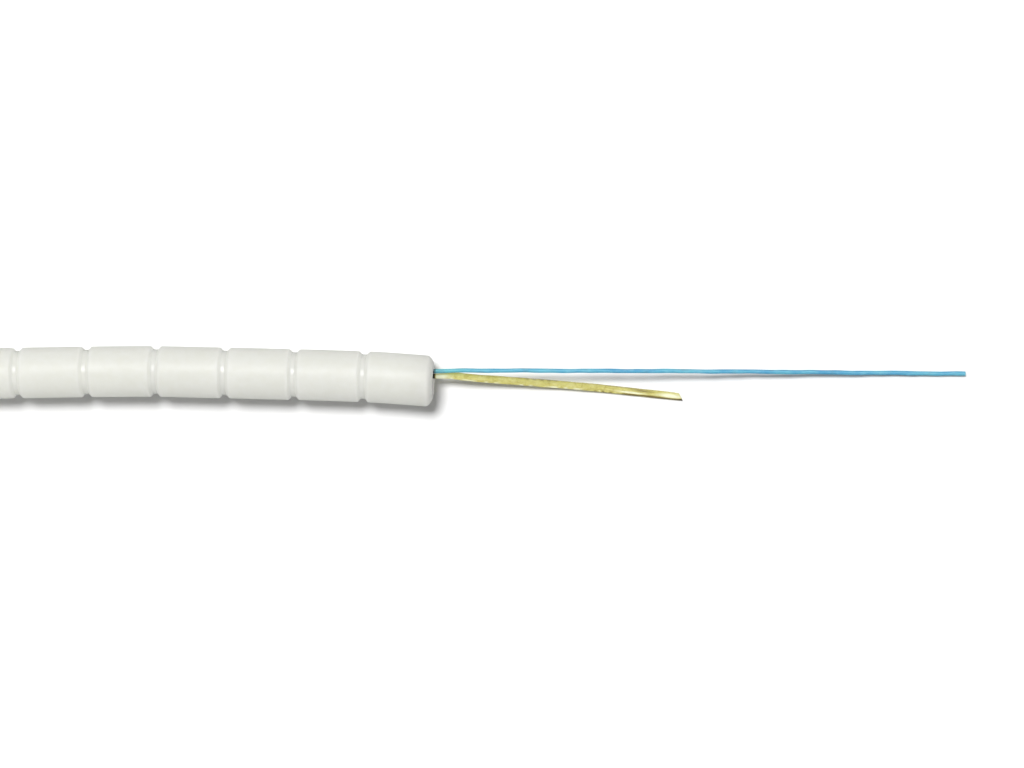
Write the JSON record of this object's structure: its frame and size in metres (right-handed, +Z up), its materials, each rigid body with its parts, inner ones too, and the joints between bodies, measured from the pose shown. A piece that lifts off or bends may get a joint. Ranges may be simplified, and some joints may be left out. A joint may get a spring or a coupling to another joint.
{
  "type": "fibre drop cable",
  "caption": "Round indoor fibre drop cable: ring-grooved off-white jacket, stripped at one end to its blue fibre and golden aramid yarn, the rest wound in a strapped coil.",
  "frame": {"origin": "on the floor, below the middle of the whole part's box", "axes": "+X along the straight stretch, from the coil to the fibre's tip; +Y across it on the floor, away from the coil; +Z up"},
  "size_m": [0.2198, 0.111, 0.0329],
  "materials": {
    "jacket": "off-white extruded jacket plastic, satin, with a smooth groove every few millimetres",
    "fibre_buffer": "light blue tight buffer, semi-gloss",
    "aramid": "golden yellow aramid filaments, silky",
    "strap": "black hook-and-loop tape, napped"
  },
  "bodies": {
    "root": {"jacket_run": "jacket", "jacket_coil": "jacket", "fibre": "fibre_buffer", "aramid_yarn": "aramid", "coil_strap_1": "strap", "coil_strap_2": "strap", "coil_strap_3": "strap"}
  },
  "joints": []
}
